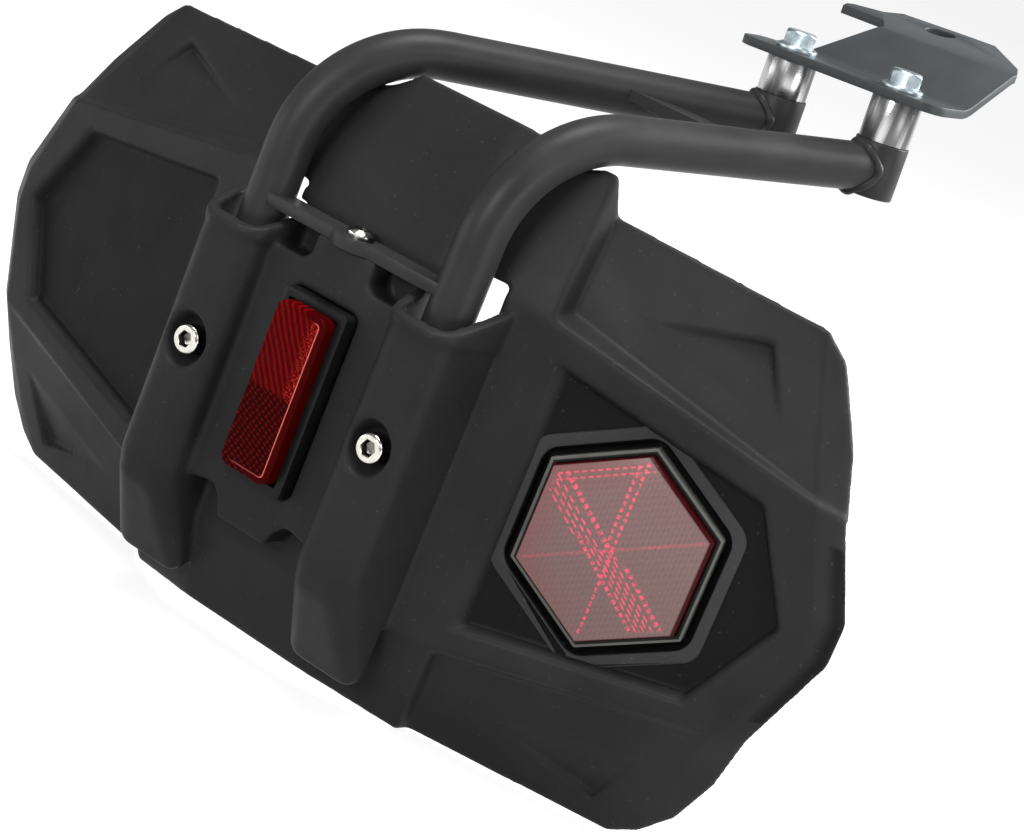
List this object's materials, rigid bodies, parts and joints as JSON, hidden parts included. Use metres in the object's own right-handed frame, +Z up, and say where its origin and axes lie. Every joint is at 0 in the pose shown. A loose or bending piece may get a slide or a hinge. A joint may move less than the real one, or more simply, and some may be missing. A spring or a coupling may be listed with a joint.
{
  "type": "motorcycle rear fender",
  "caption": "Moulded black rear fender with folded wings, ribs that hold a bent tube bracket, red reflectors and a bent steel mount plate.",
  "frame": {"origin": "centre of the hole in the mount plate's upper flange", "axes": "+Z up along the ribs, +X toward the right wing, -Y out of the fender's face, away from the wheel"},
  "size_m": [0.361, 0.2096, 0.2699],
  "materials": {
    "skin": "fine grained black moulding",
    "frame_paint": "satin black powder coat",
    "plate_paint": "satin dark grey coat",
    "spacer_metal": "turned and bright",
    "bolt_zinc": "bright zinc plate",
    "screw_steel": "polished stainless",
    "insert_brass": "plain",
    "housing_black": "smooth black",
    "lens_red": "clear red with moulded prisms",
    "lens_pink": "red prisms under flash light"
  },
  "bodies": {
    "root": {"fender_body": "skin", "tube_left": "frame_paint", "tube_right": "frame_paint", "boss_left": "frame_paint", "boss_right": "frame_paint", "cross_plate": "frame_paint", "rear_brace": "frame_paint", "spacer_left": "spacer_metal", "spacer_right": "spacer_metal", "mount_plate": "plate_paint", "flange_bolt_left": "bolt_zinc", "flange_bolt_right": "bolt_zinc", "rib_screw_left": "screw_steel", "rib_screw_right": "screw_steel", "rivet_nut_left": "bolt_zinc", "rivet_nut_right": "bolt_zinc", "tongue_screw": "screw_steel", "tongue_insert": "insert_brass", "long_reflector_housing": "housing_black", "long_reflector_lens": "lens_red", "hex_reflector_housing": "housing_black", "hex_reflector_lens": "lens_pink", "hex_reflector_nut": "bolt_zinc", "long_reflector_nuts": "bolt_zinc"}
  },
  "joints": []
}
